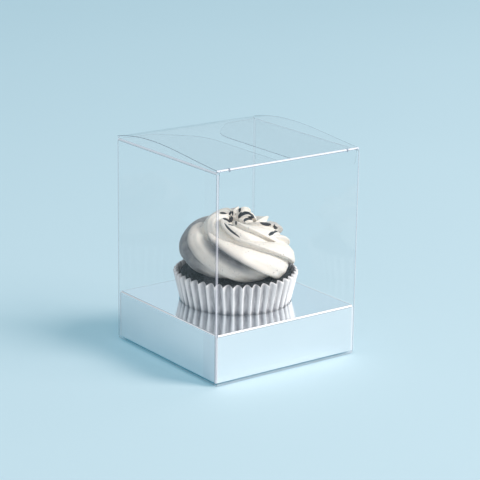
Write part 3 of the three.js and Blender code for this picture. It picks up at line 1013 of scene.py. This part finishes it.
@dataclass
class PipedIcing:
    """One rope of icing from a star nozzle, coiled up to a lifted tip."""

    turns: float = 2.15
    start_angle: float = -12.0
    start_radius: float = 11.5 * MM
    end_radius: float = 6.4 * MM
    coil_start: float = 20.6 * MM
    coil_end: float = 1.6 * MM
    coil_ease: float = 1.7
    start_height: float = 51.49 * MM
    rise: float = 19.0 * MM
    lobes: int = 5
    lobe_depth: float = 0.34
    lobe_turns: float = 3.0
    lobe_lean: float = 0.62
    steps: int = 480
    around: int = 150
    unevenness: float = 0.35 * MM
    unevenness_size: float = 9.0 * MM
    seed: int = 11
    fullness: float = 1.08
    groove: float = 0.01
    roundness: float = 0.8
    slope_power: float = 0.9
    lobe_peak: float = 0.25
    lobe_crease: float = 0.75
    lobe_overhang: float = 0.26
    ribbons: tuple[Ribbon, ...] = (
        Ribbon(1.1, 2.3, 0.19, 0.34, 0.95),
        Ribbon(2.62, 3.3, 0.125, 0.205, 1.0),
        Ribbon(2.0, 2.45, 0.16, 0.28, 0.3),
        Ribbon(1.15, 1.6, 0.58, 0.7, 0.3),
        Ribbon(3.1, 3.7, 0.36, 0.6, 0.45),
        Ribbon(0.1, 0.9, 0.85, 0.95, 0.35),
    )
    streaks: tuple[Ribbon, ...] = (
        Ribbon(1.36, 1.46, 0.595, 0.66, 1.0, taper=1.3),
        Ribbon(4.1, 4.25, 0.74, 0.84, 1.0, taper=1.3),
    )
    strokes: tuple[Stroke, ...] = (
        Stroke((-7.3, 5.2, 73.5), (0.2, 3.4, 73.6), 0.8),
        Stroke((-1.2, 4.0, 73.6), (7.3, -5.7, 71.7), 1.1),
        Stroke((-9.9, -2.0, 72.7), (-0.2, 2.5, 70.3), 1.1),
        Stroke((1.5, -4.2, 70.7), (6.4, -5.2, 70.8), 0.6),
        Stroke((-11.3, -8.1, 71.5), (-6.8, -9.6, 72.0), 1.0),
        Stroke((-8.0, -9.3, 72.0), (2.2, -4.6, 70.4), 0.8),
        Stroke((2.7, 1.9, 74.5), (3.9, 1.4, 74.6), 0.8),
        Stroke((5.0, -21.5, 66.1), (12.1, -17.8, 65.3), 0.6),
        Stroke((11.0, -18.2, 65.4), (16.8, -14.2, 65.2), 0.5),
        Stroke((12.6, -15.4, 68.4), (17.0, -13.2, 65.6), 0.6),
        Stroke((5.0, -13.8, 71.1), (11.2, -15.5, 69.3), 0.55),
        Stroke((7.7, -5.4, 71.0), (4.6, -10.9, 70.9), 0.4),
    )
    finish: MarbledIcing = field(default_factory=MarbledIcing)

    def centre(self, share: np.ndarray) -> np.ndarray:
        """Give the rope's centre line.

        The angle falls steadily from the start angle, the distance from the axis
        falls with a power of the share, and the height rises steadily.
        """
        closing = np.clip(share, 0.0, 1.0) ** self.coil_ease
        angle = np.radians(self.start_angle) - 2.0 * np.pi * self.turns * share
        coil = self.coil_start + (self.coil_end - self.coil_start) * closing
        z = self.start_height + self.rise * share
        return np.stack([coil * np.cos(angle), coil * np.sin(angle), z], axis=-1)

    def profile(self, part: np.ndarray) -> np.ndarray:
        """Give the outline of one lobe, 0 in the valleys and 1 on the ridge.

        It is a blend of a round rise and fall, the sine of pi times the share raised
        to the lean, and of a creased one that rises fast up to the peak and falls
        slowly after it.
        """
        round_one = np.sin(np.pi * part**self.lobe_lean) ** self.roundness
        rise = np.sin(0.5 * np.pi * np.minimum(part / self.lobe_peak, 1.0)) ** self.roundness
        fall = np.clip((1.0 - part) / (1.0 - self.lobe_peak), 0.0, 1.0) ** self.slope_power
        creased = rise * fall
        return (1.0 - self.lobe_crease) * round_one + self.lobe_crease * creased

    def build(self, effects: Effects) -> None:
        """Make the rope.

        Each ring is a star with leaning lobes and sharp valleys: its radius is the
        rope's radius times (the fullness less the lobe depth, plus the lobe depth
        times the lobe's outline, plus a faint groove), and each ridge is pushed over
        the valley before it. The lobes turn round the rope as it runs. The rope
        starts and ends in a point.
        """
        share = np.linspace(0.0, 1.0, self.steps)
        centre = self.centre(share)
        along = np.gradient(centre, axis=0)
        along /= np.linalg.norm(along, axis=1, keepdims=True)
        out = centre * np.array([1.0, 1.0, 0.0])
        out /= np.linalg.norm(out, axis=1, keepdims=True)
        up = np.cross(out, along)
        up *= np.sign(up[:, 2:3])
        up /= np.linalg.norm(up, axis=1, keepdims=True)
        side = np.cross(up, along)
        side *= np.sign((side * out).sum(axis=1, keepdims=True))

        place = self.lobes * np.arange(self.around) / self.around
        part = np.mod(place, 1.0)[None, :]
        twist = 2.0 * np.pi * self.lobe_turns * share
        lobe = self.profile(part)
        angle = 2.0 * np.pi * place[None, :] / self.lobes + twist[:, None]
        angle = angle - self.lobe_overhang * lobe**2
        radius = self.start_radius + (self.end_radius - self.start_radius) * share
        taper = smooth(share, -0.01, 0.06) ** 0.6
        taper = taper * (1.0 - 0.9 * smooth(share, 0.93, 1.0))
        groove = self.groove * np.sin(8.0 * np.pi * part)
        r = (radius * taper)[:, None] * (
            self.fullness - self.lobe_depth + self.lobe_depth * lobe + groove
        )
        rows = (
            centre[:, None, :]
            + (r * np.cos(angle))[:, :, None] * side[:, None, :]
            + (r * np.sin(angle))[:, :, None] * up[:, None, :]
        )
        swell = self.unevenness * ripple(rows, 24, self.unevenness_size, self.seed)
        rows += swell[:, :, None] * (rows - centre[:, None, :]) / radius[:, None, None]
        icing = closed_surface("piped_icing", rows, rows[0].mean(0), rows[-1].mean(0))
        column, row = share[:, None], place[None, :]
        grey = np.max([ribbon.at(column, row) for ribbon in self.ribbons], axis=0)
        ink = np.max([streak.at(column, row) for streak in self.streaks], axis=0)
        ink = np.max([ink] + [stroke.at(rows) for stroke in self.strokes], axis=0)
        add_values(icing, "grey", grey)
        add_values(icing, "ink", ink)
        icing.data.materials.append(self.finish.build(effects))
        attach(icing, "box")
        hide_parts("icing")
        LOG.info("icing with %d vertices", len(icing.data.vertices))


@dataclass(frozen=True)
class Lamp:
    """A square lamp: its name, place and side in metres, power in watts, and colour."""

    name: str
    place: tuple[float, float, float]
    size: float
    power: float
    color: tuple[float, float, float]

    def hang(self) -> None:
        """Hang the lamp so that it faces the middle of the object."""
        data = bpy.data.lights.new(self.name, "AREA")
        data.size = self.size
        data.energy = self.power
        data.color = self.color
        lamp = bpy.data.objects.new(self.name, data)
        lamp.location = self.place
        aim = Vector((0.0, 0.0, 0.05)) - lamp.location
        lamp.rotation_euler = aim.to_track_quat("-Z", "Y").to_euler()
        bpy.context.scene.collection.objects.link(lamp)


@dataclass
class Studio:
    """Floor, lamps, background light and the camera."""

    pale_blue: tuple = (0.575, 0.748, 0.842, 1.0)
    place: tuple = (-0.5521, -0.7468, 0.3321)
    yaw: float = 36.6
    pitch: float = 16.39
    roll: float = 0.79
    focal_pixels: float = 1843.2
    frame_pixels: float = 480.0
    paper: tuple = (0.565, 0.61, 0.64, 1.0)
    shadow_tint: tuple = (0.0, 0.145, 0.215, 1.0)
    floor_half: float = 4.0
    floor_gap: float = 0.05 * MM
    ambient: tuple = (0.88, 0.96, 1.0, 1.0)
    ambient_strength: float = 0.42
    lamps: tuple[Lamp, ...] = (
        Lamp("key", (1.9, -2.5, 2.2), 1.4, 136.0, (1.0, 0.95, 0.9)),
        Lamp("fill", (-1.6, -2.0, 1.9), 2.0, 21.0, (1.0, 0.95, 0.91)),
    )

    def seen(self, sheet: NodeSheet) -> Socket:
        """Give 1 where a surface is looked at, straight or by gloss, and 0 elsewhere."""
        rays = sheet.node("ShaderNodeLightPath").outputs
        seen = sheet.math("ADD", rays["Is Camera Ray"], rays["Is Glossy Ray"])
        return sheet.math("ADD", seen, rays["Is Transmission Ray"], clamp=True)

    def floor(self) -> None:
        """Make a wide pale floor, just under the object.

        It glows faintly in blue to the eye and in gloss, which tints its shadows.
        """
        size = np.linspace(-self.floor_half, self.floor_half, 9)
        x, y = np.meshgrid(size, size, indexing="ij")
        z = np.full_like(x, -self.floor_gap)
        points = np.stack([x, y, z], axis=-1).reshape(-1, 3)
        row, column = np.meshgrid(np.arange(8), np.arange(8), indexing="ij")
        first = (row * 9 + column).reshape(-1)
        quads = np.stack([first, first + 9, first + 10, first + 1], axis=-1)
        mesh = bpy.data.meshes.new("floor")
        mesh.from_pydata(points, [], quads.tolist())
        material, sheet, output = new_material("floor_paper")
        cloud = sheet.noise(sheet.place(), 3.0, 2.0)
        low = tuple(0.97 * v for v in self.paper[:3]) + (1.0,)
        values = {
            "Base Color": sheet.mix(cloud, low, self.paper),
            "Roughness": 0.8,
            "Specular IOR Level": 0.15,
            "Emission Color": self.shadow_tint,
            "Emission Strength": self.seen(sheet),
        }
        paper = sheet.fill(sheet.node("ShaderNodeBsdfPrincipled"), values)
        sheet.put(paper, output.inputs["Surface"])
        mesh.materials.append(material)
        floor = bpy.data.objects.new("floor", mesh)
        bpy.context.scene.collection.objects.link(floor)

    def light(self) -> None:
        """Set the lamps, and a world that shows pale blue to the eye and in gloss."""
        for lamp in self.lamps:
            lamp.hang()
        world = bpy.data.worlds.new("studio")
        world.use_nodes = True
        world.node_tree.nodes.clear()
        sheet = NodeSheet(world.node_tree)
        values = {"Color": self.ambient, "Strength": self.ambient_strength}
        ambient = sheet.fill(sheet.node("ShaderNodeBackground"), values)
        values = {"Color": self.pale_blue, "Strength": 1.0}
        pale = sheet.fill(sheet.node("ShaderNodeBackground"), values)
        output = sheet.node("ShaderNodeOutputWorld")
        sheet.put(sheet.blend(self.seen(sheet), ambient, pale), output.inputs["Surface"])
        bpy.context.scene.world = world

    def camera(self) -> None:
        """Set the camera at the photograph's angle."""
        yaw, pitch, roll = (math.radians(v) for v in (self.yaw, self.pitch, self.roll))
        right = Vector((math.cos(yaw), -math.sin(yaw), 0.0))
        ahead = Vector(
            (math.sin(yaw) * math.cos(pitch), math.cos(yaw) * math.cos(pitch), -math.sin(pitch))
        )
        up = right.cross(ahead)
        across = math.cos(roll) * right + math.sin(roll) * up
        above = math.cos(roll) * up - math.sin(roll) * right
        turn = Matrix((across, above, -ahead)).transposed()
        data = bpy.data.cameras.new("camera")
        data.sensor_width = 36.0
        data.lens = 36.0 * self.focal_pixels / self.frame_pixels
        data.clip_start = 0.01
        camera = bpy.data.objects.new("camera", data)
        camera.matrix_world = Matrix.Translation(self.place) @ turn.to_4x4()
        bpy.context.scene.collection.objects.link(camera)
        bpy.context.scene.camera = camera

    def build(self) -> None:
        """Set up the whole studio."""
        bpy.context.scene.view_settings.view_transform = "Standard"
        bpy.context.scene.cycles.transparent_max_bounces = 32
        self.camera()
        self.light()
        self.floor()
        LOG.info("studio ready")


def main() -> None:
    """Build the studio and every sub-assembly, in order."""
    logging.basicConfig(level=logging.INFO, format="%(name)s: %(message)s")
    Studio().build()
    effects = Effects()
    for assembly in (ClearCarton(), SilverInsert(), PleatedCup(), DarkCake(), PipedIcing()):
        assembly.build(effects)
        LOG.info("%s done", type(assembly).__name__)
    bpy.context.view_layer.update()


if __name__ == "__main__":
    main()
